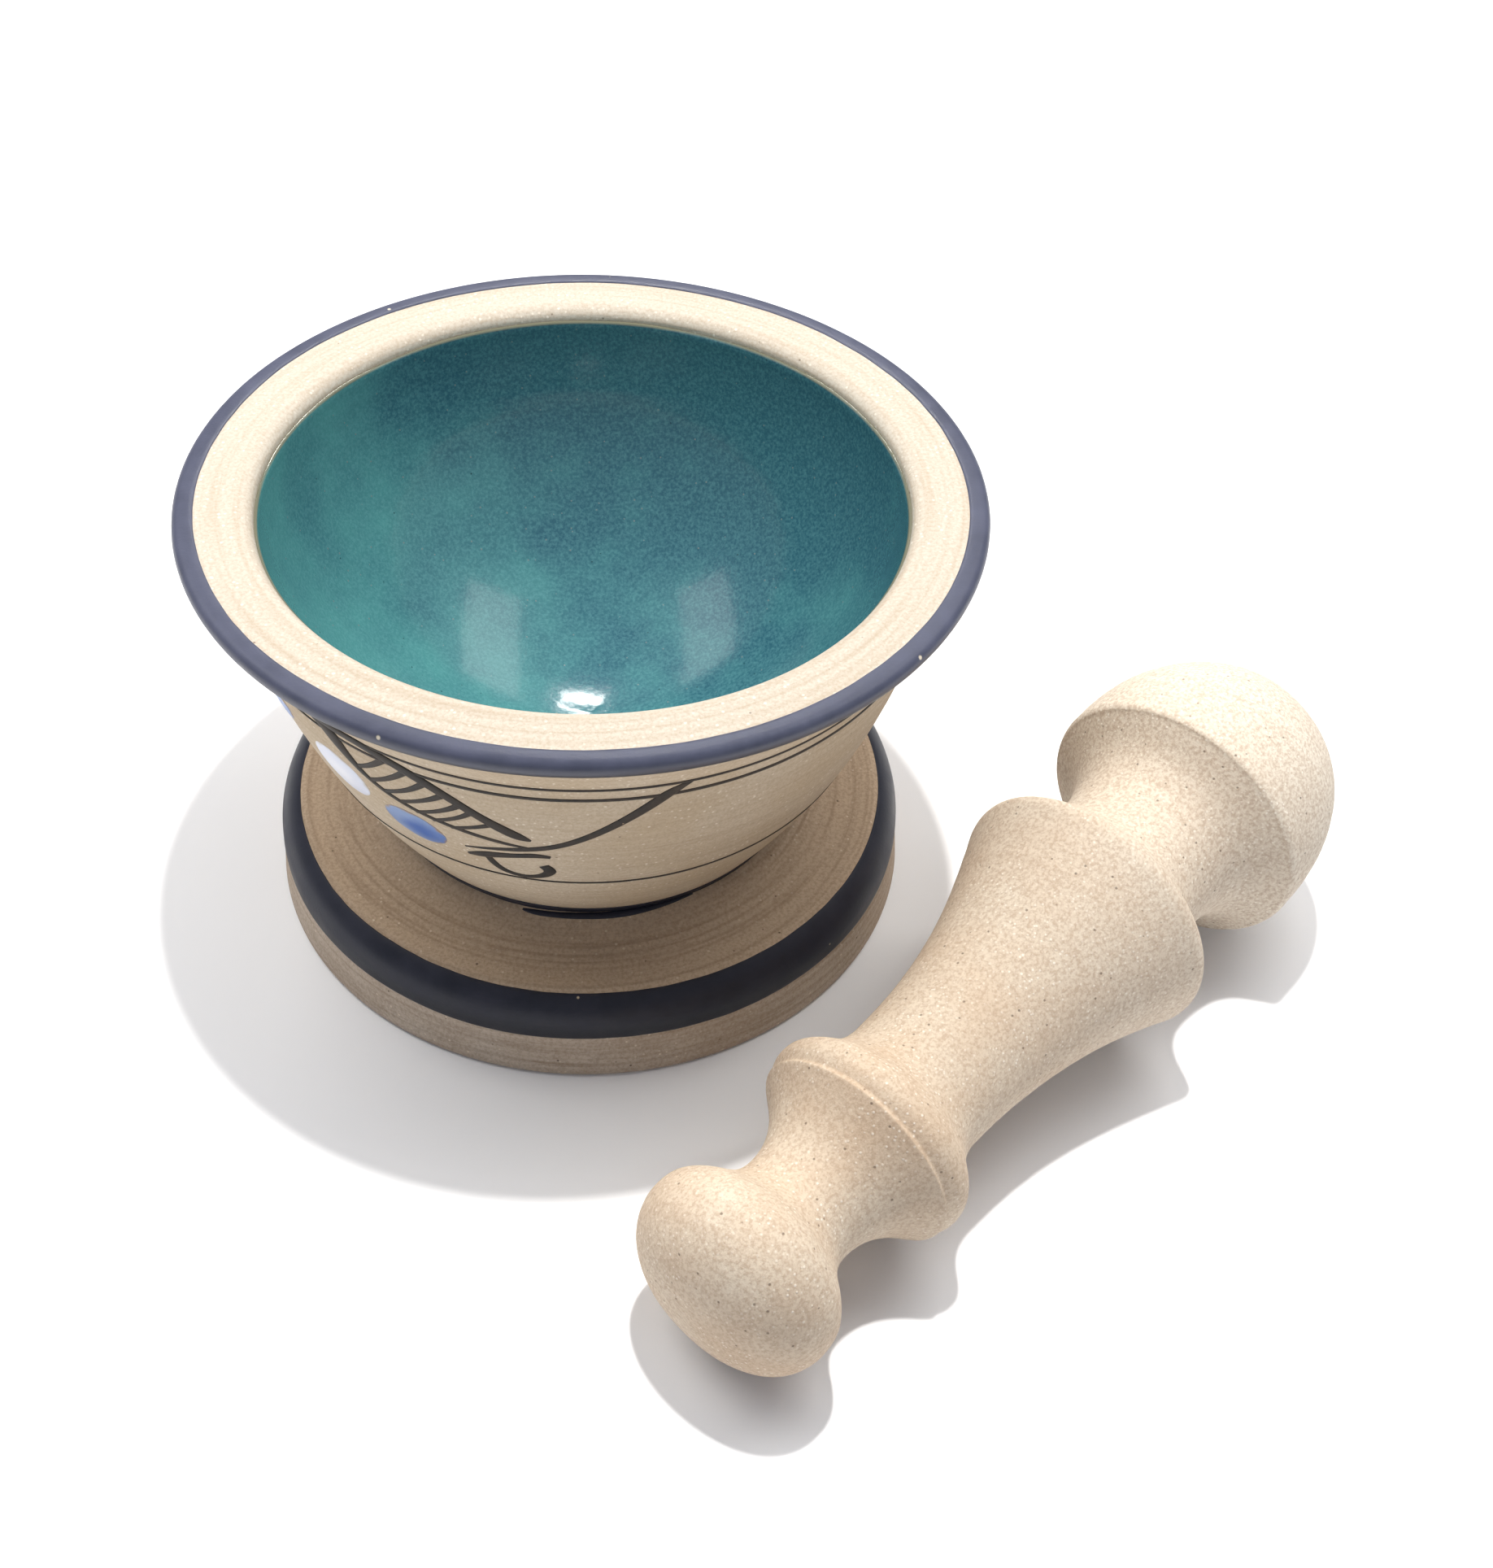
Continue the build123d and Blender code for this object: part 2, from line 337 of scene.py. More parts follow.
def pooledGlaze(look):
    # Copper-turquoise stoneware glaze, poured and fired glossy: deep and slightly mottled, with
    # fine pale crystals and dark specks under a wet-looking, finely dimpled face. Real crystals
    # are about 0.1 mm across and are drawn at grainWidth and paleSize so that they show.
    material, tree = newMaterial("turquoise_stoneware_glaze")
    own = addNode(tree, "ShaderNodeTexCoord").outputs["Object"]
    inMm = addNode(tree, "ShaderNodeMapping", {
        "Vector": own, "Scale": (mm, mm, mm)}, vector_type="TEXTURE").outputs[0]
    pools = addNode(tree, "ShaderNodeTexNoise", {
        "Vector": inMm, "Scale": 1 / look["poolWidth"], "Detail": 3.0, "Roughness": 0.6})
    grain = addNode(tree, "ShaderNodeTexNoise", {
        "Vector": inMm, "Scale": 1 / look["grainWidth"], "Detail": 3.0, "Roughness": 0.7})
    dimples = addNode(tree, "ShaderNodeTexNoise", {
        "Vector": inMm, "Scale": 1 / look["dimpleWidth"], "Detail": 2.0})
    pale = grains(tree, inMm, look["paleSpacing"], look["paleSize"], look["paleShare"])
    dark = grains(tree, inMm, look["darkSpacing"], look["darkSize"], look["darkShare"])

    # darker towards the back and right, paler and greener towards the front and left
    drift = addNode(tree, "ShaderNodeVectorMath", {
        0: inMm, 1: look["paleTowards"]}, operation="DOT_PRODUCT")
    paleDrift = addNode(tree, "ShaderNodeMath", {
        0: pools.outputs[0], 1: drift.outputs["Value"]}, operation="ADD")
    poolMix = addNode(tree, "ShaderNodeMapRange", {
        "Value": paleDrift.outputs[0], "From Min": 0.25, "From Max": 0.75})
    tone = addNode(tree, "ShaderNodeMix", {
        "Factor": poolMix.outputs[0], 6: linear(look["deep"]), 7: linear(look["green"])},
        data_type="RGBA")
    grainMix = addNode(tree, "ShaderNodeMapRange", {
        "Value": grain.outputs[0], "From Min": 0.4, "From Max": 0.65, "To Max": look["grainTint"]})
    grained = addNode(tree, "ShaderNodeMix", {
        "Factor": grainMix.outputs[0], 6: tone.outputs[2], 7: linear(look["milk"])},
        data_type="RGBA")
    paleMix = addNode(tree, "ShaderNodeMath", {0: pale, 1: look["paleTint"]}, operation="MULTIPLY")
    paled = addNode(tree, "ShaderNodeMix", {
        "Factor": paleMix.outputs[0], 6: grained.outputs[2], 7: linear(look["crystal"])},
        data_type="RGBA")
    darkMix = addNode(tree, "ShaderNodeMath", {0: dark, 1: look["darkTint"]}, operation="MULTIPLY")
    specked = addNode(tree, "ShaderNodeMix", {
        "Factor": darkMix.outputs[0], 6: paled.outputs[2], 7: linear(look["speck"])},
        data_type="RGBA")
    axes = addNode(tree, "ShaderNodeSeparateXYZ", {0: inMm})
    edgeMix = addNode(tree, "ShaderNodeMapRange", {
        "Value": axes.outputs["Z"], "From Min": look["edgeFrom"], "From Max": look["edgeTo"]},
        interpolation_type="SMOOTHSTEP")
    colour = addNode(tree, "ShaderNodeMix", {
        "Factor": edgeMix.outputs[0], 6: specked.outputs[2], 7: linear(look["edge"])},
        data_type="RGBA")
    crystalLift = addNode(tree, "ShaderNodeMath", {
        0: pale, 1: look["crystalRelief"]}, operation="MULTIPLY")
    height = addNode(tree, "ShaderNodeMath", {
        0: dimples.outputs[0], 1: look["dimpleRelief"], 2: crystalLift.outputs[0]},
        operation="MULTIPLY_ADD")
    bump = addNode(tree, "ShaderNodeBump", {"Height": height.outputs[0], "Distance": mm})
    skin = addNode(tree, "ShaderNodeBsdfPrincipled", {
        "Base Color": colour.outputs[2], "Roughness": look["roughness"],
        "Normal": bump.outputs[0], "Coat Weight": 0.4, "Coat Roughness": 0.08})
    addNode(tree, "ShaderNodeOutputMaterial", {"Surface": skin.outputs[0]})
    return material


def brushedColour(name, look):
    # Coloured slip or oxide brushed on thick and fired: a satin skin, a little uneven in tone from
    # the brush and darker low down, partly where it gathered and partly as painted shade on the side
    # that faces down, with small chips that show the clay. Its grain is drawn coarser than the real
    # powder, which is too fine to show.
    material, tree = newMaterial(name)
    own = addNode(tree, "ShaderNodeTexCoord").outputs["Object"]
    inMm = addNode(tree, "ShaderNodeMapping", {
        "Vector": own, "Scale": (mm, mm, mm)}, vector_type="TEXTURE").outputs[0]
    patches = addNode(tree, "ShaderNodeTexNoise", {
        "Vector": inMm, "Scale": 1 / look["patchWidth"], "Detail": 4.0, "Roughness": 0.65})
    grain = addNode(tree, "ShaderNodeTexNoise", {
        "Vector": inMm, "Scale": 1 / look["grainWidth"], "Detail": 2.0})
    chips = grains(tree, inMm, look["chipSpacing"], look["chipSize"], look["chipShare"])
    patchMix = addNode(tree, "ShaderNodeMapRange", {
        "Value": patches.outputs[0], "From Min": 0.35, "From Max": 0.7})
    tone = addNode(tree, "ShaderNodeMix", {
        "Factor": patchMix.outputs[0], 6: linear(look["body"]), 7: linear(look["thin"])},
        data_type="RGBA")
    heights = addNode(tree, "ShaderNodeSeparateXYZ", {0: inMm})
    # darker low down: partly where the slip gathered, partly painted shade on the side that faces
    # down
    gatherShadeMix = addNode(tree, "ShaderNodeMapRange", {
        "Value": heights.outputs["Z"], "From Min": look["gatherShadeTo"], "From Max": look["gatherShadeFrom"]},
        interpolation_type="SMOOTHSTEP")
    gatheredAndShaded = addNode(tree, "ShaderNodeMix", {
        "Factor": gatherShadeMix.outputs[0], 6: linear(look["gatheredAndShaded"]), 7: tone.outputs[2]},
        data_type="RGBA")
    colour = addNode(tree, "ShaderNodeMix", {
        "Factor": chips, 6: gatheredAndShaded.outputs[2], 7: linear(look["clay"])}, data_type="RGBA")
    gloss = addNode(tree, "ShaderNodeMapRange", {
        "Value": patches.outputs[0], "From Min": 0.3, "From Max": 0.7,
        "To Min": look["roughness"] - 0.08, "To Max": look["roughness"] + 0.08})
    grainLift = addNode(tree, "ShaderNodeMath", {
        0: grain.outputs[0], 1: look["grainRelief"]}, operation="MULTIPLY")
    height = addNode(tree, "ShaderNodeMath", {
        0: chips, 1: -look["chipDepth"], 2: grainLift.outputs[0]}, operation="MULTIPLY_ADD")
    bump = addNode(tree, "ShaderNodeBump", {"Height": height.outputs[0], "Distance": mm})
    skin = addNode(tree, "ShaderNodeBsdfPrincipled", {
        "Base Color": colour.outputs[2], "Roughness": gloss.outputs[0],
        "Specular IOR Level": look["specular"], "Normal": bump.outputs[0]})
    addNode(tree, "ShaderNodeOutputMaterial", {"Surface": skin.outputs[0]})
    return material


def dabbedGlaze(name, look):
    # A dab of coloured glaze from a loaded brush: thick and deep towards one end, thin and paler
    # at the other, with a brown line where it meets the clay
    material, tree = newMaterial(name)
    uv = addNode(tree, "ShaderNodeTexCoord").outputs["UV"]
    centred = addNode(tree, "ShaderNodeVectorMath", {0: uv, 1: (0.5, 0.5, 0)}, operation="SUBTRACT")
    out = addNode(tree, "ShaderNodeVectorMath", {0: centred.outputs[0]}, operation="LENGTH")
    axes = addNode(tree, "ShaderNodeSeparateXYZ", {0: centred.outputs[0]})
    streaks = addNode(tree, "ShaderNodeTexNoise", {"Vector": uv, "Scale": 4.0, "Detail": 3.0})
    shifted = addNode(tree, "ShaderNodeMath", {
        0: streaks.outputs[0], 1: 0.2, 2: out.outputs["Value"]}, operation="MULTIPLY_ADD")
    leaning = addNode(tree, "ShaderNodeMath", {
        0: axes.outputs["X"], 1: look["lean"], 2: shifted.outputs[0]}, operation="MULTIPLY_ADD")
    thinMix = addNode(tree, "ShaderNodeMapRange", {
        "Value": leaning.outputs[0], "From Min": 0.15, "From Max": 0.55},
        interpolation_type="SMOOTHSTEP")
    tone = addNode(tree, "ShaderNodeMix", {
        "Factor": thinMix.outputs[0], 6: linear(look["deep"]), 7: linear(look["thin"])},
        data_type="RGBA")
    edgeMix = addNode(tree, "ShaderNodeMapRange", {
        "Value": shifted.outputs[0], "From Min": 0.55, "From Max": 0.61})
    colour = addNode(tree, "ShaderNodeMix", {
        "Factor": edgeMix.outputs[0], 6: tone.outputs[2], 7: linear(look["edge"])},
        data_type="RGBA")
    skin = addNode(tree, "ShaderNodeBsdfPrincipled", {
        "Base Color": colour.outputs[2], "Roughness": 0.35})
    addNode(tree, "ShaderNodeOutputMaterial", {"Surface": skin.outputs[0]})
    return material


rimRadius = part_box("bowl")[1].x / mm
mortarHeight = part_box("bowl")[1].z / mm
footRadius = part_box("pedestal_foot")[1].x / mm
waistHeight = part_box("pedestal_foot")[1].z / mm

bowl = {
    "rimWidth": 9.5, "mouthDrop": 1.8, "mouthRound": 2.4, "edgeRound": 0.9,
    "lipFlare": 6.2, "lipHeight": 12.0, "lipWay": (0.72, 0.69),  # the way it runs at its end
    "edgeOverhang": 0.75, "edgeDrop": 2.3, "edgeTuck": 0.6,
    "waistRadius": 29.4, "bellyBulge": 1.8, "floorHeight": 23.5,
    "clay": {
        "body": "#cabba5", "warm": "#c2b096", "shadowTone": "#a58f76",
        # painted highlight: the lit rim top is paler and less saturated
        "paintedLightTone": "#c7beb0", "paintedLightFrom": mortarHeight - 2.6, "paintedLightTo": mortarHeight - 1.2,
        "paleGrog": "#f6efe2", "darkGrog": "#55443a",
        "ringWidth": 0.8, "cloudWidth": 14.0, "sandWidth": 0.45,
        "paleSpacing": 0.9, "paleSize": 0.5, "paleShare": 0.6, "paleTint": 0.5,  # grog, in mm
        "darkSpacing": 2.4, "darkSize": 0.4, "darkShare": 0.3, "darkTint": 0.6,
        "ringTint": 0.4, "sandTint": 0.4,
        "sandRelief": 0.05, "ringRelief": 0.06, "grogRelief": 0.03,  # mm
    },
}
mouthRadius = rimRadius - bowl["rimWidth"]
mouthHeight = mortarHeight - bowl["mouthDrop"]
cavityDepth = mouthHeight - bowl["floorHeight"]
cavityRadius = (mouthRadius**2 + cavityDepth**2) / (2 * cavityDepth)
cavityCentre = bowl["floorHeight"] + cavityRadius
waist = (bowl["waistRadius"], waistHeight)


def cavityArc(radius, top, steps):
    # from the wall at height top down to the axis, on a sphere round the cavity's centre
    start = math.acos((cavityCentre - top) / radius)
    return [(radius * math.sin(start * (1 - i / steps)),
             cavityCentre - radius * math.cos(start * (1 - i / steps))) for i in range(steps)] + [
        (0.0, cavityCentre - radius)]


def outerWall():
    # from the waist up the belly and the flared lip, round the rim and in to the mouth
    root = (rimRadius - bowl["lipFlare"], mortarHeight - bowl["lipHeight"])
    border = (rimRadius - bowl["edgeOverhang"], mortarHeight - bowl["edgeDrop"])
    edge = (rimRadius, mortarHeight - bowl["edgeRound"])
    topOuter = (rimRadius - bowl["edgeRound"], mortarHeight)
    topInner = (mouthRadius + bowl["mouthRound"], mortarHeight)
    mouth = (mouthRadius, mouthHeight)
    wall = bowed(waist, root, bowl["bellyBulge"], 70)
    rise = (Vector(root) - Vector(wall[-1])).normalized()
    flare = Vector(border) - Vector(root)
    lipEnd = Vector(border) - Vector(bowl["lipWay"]) * flare.length / 3
    lip = curve(root, Vector(root) + rise * flare.length / 3, lipEnd, border, 24)
    return (wall + lip + rounded(border, (rimRadius, border[1] + bowl["edgeTuck"]), edge, 6)
            + rounded(edge, (rimRadius, mortarHeight), topOuter, 8)
            + straight(topOuter, topInner, 16)
            + rounded(topInner, (mouthRadius, mortarHeight), mouth, 10) + [mouth])


foot = {
    "sideLean": 1.1, "shoulderHeight": 12.3, "shoulderRound": 3.4, "topSag": 0.9, "baseRound": 0.7,
    "clay": {
        "body": "#c5b6a5", "warm": "#b6a491", "shadowTone": "#806a55",
        # painted light: the foot's top takes a warmer tone for how the light falls there
        "paintedLightTone": "#c3ad94", "paintedLightFrom": 11.2, "paintedLightTo": 12.6,
        "paleGrog": "#ecdfc9", "darkGrog": "#3a2d26",
        "ringWidth": 0.7, "cloudWidth": 16.0, "sandWidth": 0.45,
        "paleSpacing": 1.1, "paleSize": 0.45, "paleShare": 0.5, "paleTint": 0.6,
        "darkSpacing": 2.0, "darkSize": 0.45, "darkShare": 0.4, "darkTint": 0.75,
        "ringTint": 0.5, "sandTint": 0.35,
        "sandRelief": 0.05, "ringRelief": 0.08, "grogRelief": 0.03,
    },
}


def footWall():
    # from the base's edge up the side, over the round shoulder and in to the waist
    base = (footRadius - foot["baseRound"], 0)
    side = (footRadius, foot["baseRound"])
    corner = Vector((footRadius - foot["sideLean"], foot["shoulderHeight"]))
    low = corner + (Vector(side) - corner).normalized() * foot["shoulderRound"]
    inner = corner + (Vector(waist) - corner).normalized() * foot["shoulderRound"]
    return (rounded(base, (footRadius, 0), side, 5) + straight(side, low, 18)
            + rounded(low, corner, inner, 12) + bowed(inner, waist, -foot["topSag"], 34) + [waist])


wallOutline = outerWall()
footOutline = footWall()


def lengthsAlong(outline):
    # how far along an outline each of its points lies
    total = [0.0]
    for a, b in zip(outline, outline[1:]):
        total.append(total[-1] + math.dist(a, b))
    return total


def alongAt(outline, height):
    # how far along an outline it first reaches a height
    lengths = lengthsAlong(outline)
    for i, (a, b) in enumerate(zip(outline, outline[1:])):
        if a[1] <= height <= b[1]:
            share = (height - a[1]) / max(b[1] - a[1], 1e-9)
            return lengths[i] + share * (lengths[i + 1] - lengths[i])
    return lengths[-1]


def topAlongAt(outline, radius):
    # how far along an outline its top, or its far end, comes in to a radius
    lengths = lengthsAlong(outline)
    for i in range(len(outline) - 1, 0, -1):
        near, far = outline[i][0], outline[i - 1][0]
        if near <= radius <= far:
            share = (far - radius) / max(far - near, 1e-9)
            return lengths[i - 1] + share * (lengths[i] - lengths[i - 1])
    return lengths[-1]


def placeOn(outline, lengths, distance):
    # the point at a distance along an outline, and which way the outline runs there
    i = min(max(bisect.bisect_right(lengths, distance), 1), len(outline) - 1)
    a, b = Vector(outline[i - 1]), Vector(outline[i])
    share = (distance - lengths[i - 1]) / max(lengths[i] - lengths[i - 1], 1e-9)
    return a.lerp(b, share), (b - a).normalized()


throwing = {
    "sway": 0.16, "swaySize": 1.1,  # mm off round, and how many lobes that has
    "swayHeight": 24, "liftWidth": 40,  # how slowly that changes up the wall and outwards, mm
    "ripple": 0.035, "ripplePitch": 1.5,  # rings left by the fingers and the turning tool, mm
    "steadyHeight": 4.0, "steadyRadius": 12.0,  # below and inside these it dies away, mm
}


def offTrue(x, y, z):
    # moves a point of the mortar, in mm, as the hand and the wheel did; every piece uses it
    r = math.hypot(x, y)
    if r < 1e-6:
        return x, y, z
    c, s = x / r, y / r
    lobe = throwing["swaySize"]
    sway = throwing["sway"] * noise.noise(Vector((c * lobe, s * lobe, z / throwing["swayHeight"])))
    lift = throwing["sway"] * noise.noise(
        Vector((c * lobe, s * lobe, 7 + r / throwing["liftWidth"])))
    turn = Vector((r / throwing["ripplePitch"], z / throwing["ripplePitch"], 0.35 * c))
    ripple = throwing["ripple"] * noise.noise(turn)
    high = min(z / throwing["steadyHeight"], 1.0)  # the base stays flat
    reach = min(r / throwing["steadyRadius"], 1.0)
    grown = r + (sway + ripple) * reach * high
    return grown * c, grown * s, z + (lift * z / mortarHeight + ripple * 0.8) * high


def throwMesh(bm):
    # moves a whole mesh with offTrue
    for v in bm.verts:
        v.co = Vector(offTrue(*(v.co / mm))) * mm


def wrapOn(outline, bm, roundRadius, seam=math.pi / 2):
    # Lays flat work on a turned wall. Flat X is the way round at roundRadius, flat Y the way
    # along the outline and flat Z the height above the wall, all in mm.
    lengths = lengthsAlong(outline)
    for v in bm.verts:
        on, along = placeOn(outline, lengths, v.co.y)
        r, z = on.x + along.y * v.co.z, on.y - along.x * v.co.z
        angle = seam + v.co.x / roundRadius
        v.co = Vector(offTrue(r * math.cos(angle), r * math.sin(angle), z)) * mm
    bmesh.ops.remove_doubles(bm, verts=bm.verts, dist=0.004 * mm)
    bmesh.ops.recalc_face_normals(bm, faces=bm.faces)


def roundBand(outline, low, high, thickness, waver, sides=40, steps=360, square=6, pitch=2.2):
    # a band of colour all the way round, from low to high along the outline, with an edge that
    # wavers as a brushed one does; square says how blunt its cross section is
    bm = bmesh.new()
    whole = math.tau * rimRadius
    bmesh.ops.create_cone(bm, cap_ends=False, segments=sides, radius1=1, radius2=1, depth=whole)
    bmesh.ops.rotate(bm, verts=bm.verts, cent=(0, 0, 0), matrix=Matrix.Rotation(math.pi / 2, 3, "Y"))
    lengthwise = [e for e in bm.edges if abs(e.verts[0].co.x - e.verts[1].co.x) > 1]
    bmesh.ops.subdivide_edges(bm, edges=lengthwise, cuts=steps - 1, use_grid_fill=True)
    for v in bm.verts:
        around = v.co.x / rimRadius
        across = max(-1.0, min(1.0, v.co.y))
        edge = Vector((pitch * math.cos(around), pitch * math.sin(around), 3 * across))
        fine = Vector((14 * math.cos(around), 14 * math.sin(around), 9 * across))
        shift = waver * (noise.noise(edge) + 0.35 * noise.noise(fine))
        v.co.y = (low + high) / 2 + across * (high - low) / 2 + shift
        v.co.z = math.copysign(thickness * math.sqrt(max(0.0, 1 - abs(across) ** square)), v.co.z)
    wrapOn(outline, bm, rimRadius)
    return bm


strokes = {
    "roundRadius": 42.0,  # where strokes keep their true width, mm
    "flatness": 0.28,  # paint thickness as a share of the stroke's half width
}


def flatPlace(degrees, along):
    # where a point of a stroke lies while the work is still flat
    return Vector((math.radians(degrees - 90) * strokes["roundRadius"], along, 0))


def brushStrokes(name, drawn, material, outline, findAlong):
    # each stroke is a smooth curve with the brush's width in its radius, pressed nearly flat
    data = bpy.data.curves.new(name, "CURVE")
    data.dimensions = "3D"
    data.bevel_depth = 1.0
    data.bevel_resolution = 3
    data.resolution_u = 10
    data.use_fill_caps = True
    for stroke in drawn:
        spline = data.splines.new("NURBS")
        spline.points.add(len(stroke) - 1)
        for point, (degrees, where, width) in zip(spline.points, stroke):
            point.co = (*flatPlace(degrees, findAlong(outline, where)), 1)
            point.radius = width / 2
        spline.order_u = 3
        spline.use_endpoint_u = True
    path = bpy.data.objects.new(name + "_curve", data)
    bpy.context.scene.collection.objects.link(path)
    mesh = bpy.data.meshes.new_from_object(path)
    bm = bmesh.new()
    bm.from_mesh(mesh)
    bpy.data.objects.remove(path)
    bpy.data.meshes.remove(mesh)
    bpy.data.curves.remove(data)
    bmesh.ops.remove_doubles(bm, verts=bm.verts, dist=0.001)
    bmesh.ops.scale(bm, verts=bm.verts, vec=(1, 1, strokes["flatness"]))
    wrapOn(outline, bm, strokes["roundRadius"])
    finishPiece(name, bm, material, "mortar")


def makeBowl():
    outline = [(0.0, waistHeight)] + straight((4, waistHeight), waist, 8) + wallOutline[:-1]
    outline += cavityArc(cavityRadius, mouthHeight, 70)
    bm = turned(outline, roundSteps)
    throwMesh(bm)
    clay = turnedStoneware("buff_stoneware_bowl", bowl["clay"])
    finishPiece("bowl_clay_body", bm, clay, "mortar", ["bowl"])


def makeFoot():
    outline = [(0.0, 0.0)] + straight((6, 0), footOutline[0], 8) + footOutline
    outline += straight(waist, (0.5, waistHeight), 8)[1:] + [(0.0, waistHeight)]
    bm = turned(outline, roundSteps)
    throwMesh(bm)
    clay = turnedStoneware("buff_stoneware_foot", foot["clay"])
    finishPiece("pedestal_foot_clay", bm, clay, "mortar", ["pedestal_foot"])


glaze = {
    "thickness": 0.4, "overlap": 0.05, "beadHeight": 0.35,  # mm; its back lies just in the clay
    "edgeWaver": 0.22, "waverDepth": 4,  # how far the edge wanders, and how deep that reaches
    "look": {
        "deep": "#2b5664", "green": "#4a8585", "milk": "#68a0a2", "edge": "#6f6e5b",
        "paleTowards": (-0.006, -0.007, 0.0),  # darker towards the back and right, paler and greener towards the front and left
        "crystal": "#cbe2de", "speck": "#16292f",
        "poolWidth": 16.0, "grainWidth": 0.45, "dimpleWidth": 0.7,
        "paleSpacing": 1.3, "paleSize": 0.32, "paleShare": 0.35, "paleTint": 0.7,
        "darkSpacing": 1.3, "darkSize": 0.34, "darkShare": 0.4, "darkTint": 0.75,
        "grainTint": 0.3, "dimpleRelief": 0.02, "crystalRelief": 0.012, "roughness": 0.15,
        "edgeFrom": mouthHeight - 0.45, "edgeTo": mouthHeight - 0.1,
    },
}


def makeGlaze():
    # a skin on the cavity's wall that ends in a rounded bead at the mouth
    overlap, waverDepth = glaze["overlap"], glaze["waverDepth"]
    face = cavityArc(cavityRadius - glaze["thickness"], mouthHeight - glaze["beadHeight"], 80)
    back = cavityArc(cavityRadius + overlap, mouthHeight - overlap, 40)
    beadTop = (back[0][0] - glaze["thickness"] * 0.9, mouthHeight + overlap)
    bead = rounded(back[0], beadTop, face[0], 6)
    outline = list(reversed(back)) + bead[1:] + face
    bm = turned(outline, roundSteps)
    for v in bm.verts:
        x, y, z = v.co / mm
        top = max(0.0, (z - mouthHeight + waverDepth) / waverDepth)
        r = max(math.hypot(x, y), 1e-6)
        v.co.z += glaze["edgeWaver"] * top * noise.noise(Vector((4 * x / r, 4 * y / r, 0))) * mm
    throwMesh(bm)
    finishPiece("turquoise_glaze_skin", bm, pooledGlaze(glaze["look"]), "mortar",
                ["glaze_lining"])


slip = {
    "thickness": 0.2, "rimIn": 2.5, "rimDrop": 2.3, "footIn": 2.45, "footDrop": 5.2,
    "waver": 0.16, "creaseOut": 0.45, "creaseUp": 1.5, "creaseWaver": 0.12, "creaseFullness": 0.85,
    # where the brush was put down beside the crease: degrees round, radius and width in mm
    "overrun": [(-108.5, 30.1, 0.3), (-106.5, 30.2, 0.7), (-101, 30.2, 0.8), (-93, 30.1, 0.9),
                (-84, 30.1, 1.0), (-75, 29.9, 0.8), (-64, 29.7, 0.3)],
    "look": {
        "body": "#414455", "thin": "#4d5063", "clay": "#d9cdb8",
        # painted shade, in part: the band is darker on its lower edge, which faces down
        "gatheredAndShaded": "#1b1d25", "gatherShadeFrom": mortarHeight - 0.7, "gatherShadeTo": mortarHeight - 2.1,
        "patchWidth": 5.0, "grainWidth": 0.35, "grainRelief": 0.02,
        "chipSpacing": 3.4, "chipSize": 0.7, "chipShare": 0.3, "chipDepth": 0.05,
        "roughness": 0.42, "specular": 0.6,
    },
    # the rim's slip again, drawn much darker: painted shade for the foot and the crease under the
    # bowl
    "shadedFootLook": {
        "body": "#1d1f2b", "thin": "#2a2b38", "clay": "#b9a78d",
        "gatheredAndShaded": "#191b25", "gatherShadeFrom": 10.0, "gatherShadeTo": 8.0,
        "patchWidth": 6.0, "grainWidth": 0.35, "grainRelief": 0.02,
        "chipSpacing": 3.4, "chipSize": 0.5, "chipShare": 0.3, "chipDepth": 0.05,
        "roughness": 0.5, "specular": 0.4,
    },
}


def makeBands():
    # over the rim's outer edge and down the lip
    rimLow = alongAt(wallOutline, mortarHeight - slip["rimDrop"])
    rimHigh = topAlongAt(wallOutline, rimRadius - slip["rimIn"])
    band = roundBand(wallOutline, rimLow, rimHigh, slip["thickness"], slip["waver"], sides=56)
    rimColour = brushedColour("blue_black_rim_slip", slip["look"])
    finishPiece("rim_slip_band", band, rimColour, "mortar", ["rim_band"])

    # over the foot's shoulder
    footLow = alongAt(footOutline, foot["shoulderHeight"] - slip["footDrop"])
    footHigh = topAlongAt(footOutline, footRadius - foot["sideLean"] - slip["footIn"])
    band = roundBand(footOutline, footLow, footHigh, slip["thickness"], slip["waver"], sides=56)
    # painted shade: a darker copy of the rim's slip for the bands that lie under the bowl
    shadedFootColour = brushedColour("blue_black_slip_painted_shade", slip["shadedFootLook"])
    finishPiece("foot_slip_band", band, shadedFootColour, "mortar", ["foot_band"])

    # the crease between foot and bowl, where the colour gathers in a soft fillet
    footLengths, wallLengths = lengthsAlong(footOutline), lengthsAlong(wallOutline)
    out, _ = placeOn(footOutline, footLengths, footLengths[-1] - slip["creaseOut"])
    up, _ = placeOn(wallOutline, wallLengths, slip["creaseUp"])
    crease = rounded(out, waist, up, 16, fullness=slip["creaseFullness"]) + [tuple(up)]
    band = roundBand(crease, 0.1, lengthsAlong(crease)[-1] - 0.1, slip["thickness"],
                     slip["creaseWaver"], sides=24)
    # painted shade: the waist band and its overrun take the foot's darker copy of the slip
    finishPiece("waist_slip_band", band, shadedFootColour, "mortar", ["waist_band"])
    brushStrokes("waist_overrun", [slip["overrun"]], shadedFootColour, footOutline, topAlongAt)


